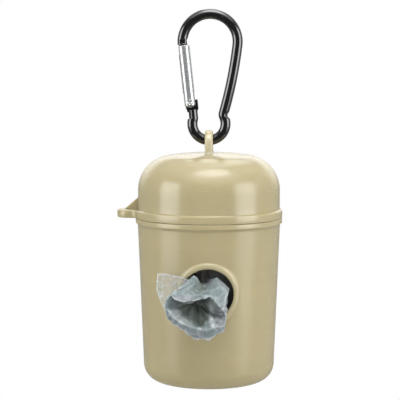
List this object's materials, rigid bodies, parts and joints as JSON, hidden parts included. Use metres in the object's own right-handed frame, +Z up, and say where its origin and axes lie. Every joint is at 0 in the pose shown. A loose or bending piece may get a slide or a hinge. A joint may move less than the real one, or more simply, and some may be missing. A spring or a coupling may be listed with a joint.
{
  "type": "waste bag dispenser",
  "caption": "Tapered plastic canister for waste bags, with a press-on domed lid and pry tab, hung by a loop on a snap hook, a bag pulled out of its round front hole",
  "frame": {"origin": "the hang point: the inside of the top of the hook's bow, on the canister's axis", "axes": "+X to the right in the picture, away from the gate and the tab; +Y to the back, away from the dispensing hole; +Z up along the canister's axis"},
  "size_m": [0.061, 0.065, 0.1375],
  "materials": {
    "black_metal": "black anodised, glossy",
    "bright_metal": "bright, turned",
    "steel": "plain",
    "lid_plastic": "glossy moulded, khaki",
    "case_plastic": "glossy moulded, khaki",
    "tube_board": "plain",
    "bag_film": "thin translucent film, grey-blue"
  },
  "bodies": {
    "hook": {"carabiner_frame": "black_metal"},
    "gate": {"carabiner_gate": "bright_metal", "gate_rivet": "steel", "gate_plunger": "steel", "gate_spring": "steel"},
    "lid": {"lid": "lid_plastic"},
    "case": {"case": "case_plastic"},
    "roll": {"bag_roll": "bag_film", "roll_core": "tube_board"},
    "tail": {"bag_tail": "bag_film"}
  },
  "joints": [
    {"name": "gate_swing", "type": "hinge", "parent": "hook", "child": "gate", "pos_m": [-0.00704, 0, -0.03047], "axis": [0, 1, 0], "range_deg": [0, 40], "stiffness_Nm_per_rad": 0.02, "springref_deg": -28.65},
    {"name": "case_swing", "type": "hinge", "parent": "hook", "child": "lid", "pos_m": [0, 0, -0.04437], "axis": [1, 0, 0], "range_deg": [-100, 100]},
    {"name": "case_pull_off", "type": "slide", "parent": "lid", "child": "case", "axis": [0, 0, -1], "range_m": [0, 0.07]},
    {"name": "roll_spin", "type": "hinge", "parent": "case", "child": "roll", "pos_m": [0, 0, -0.10268], "axis": [0, 0, 1], "range_deg": [0, 160]},
    {"name": "bag_pull", "type": "slide", "parent": "case", "child": "tail", "axis": [0, -1, 0], "range_m": [0, 0.05]}
  ],
  "couplings": [
    {"joint": "bag_pull", "follows": "roll_spin", "m_per_rad": 0.0175}
  ]
}
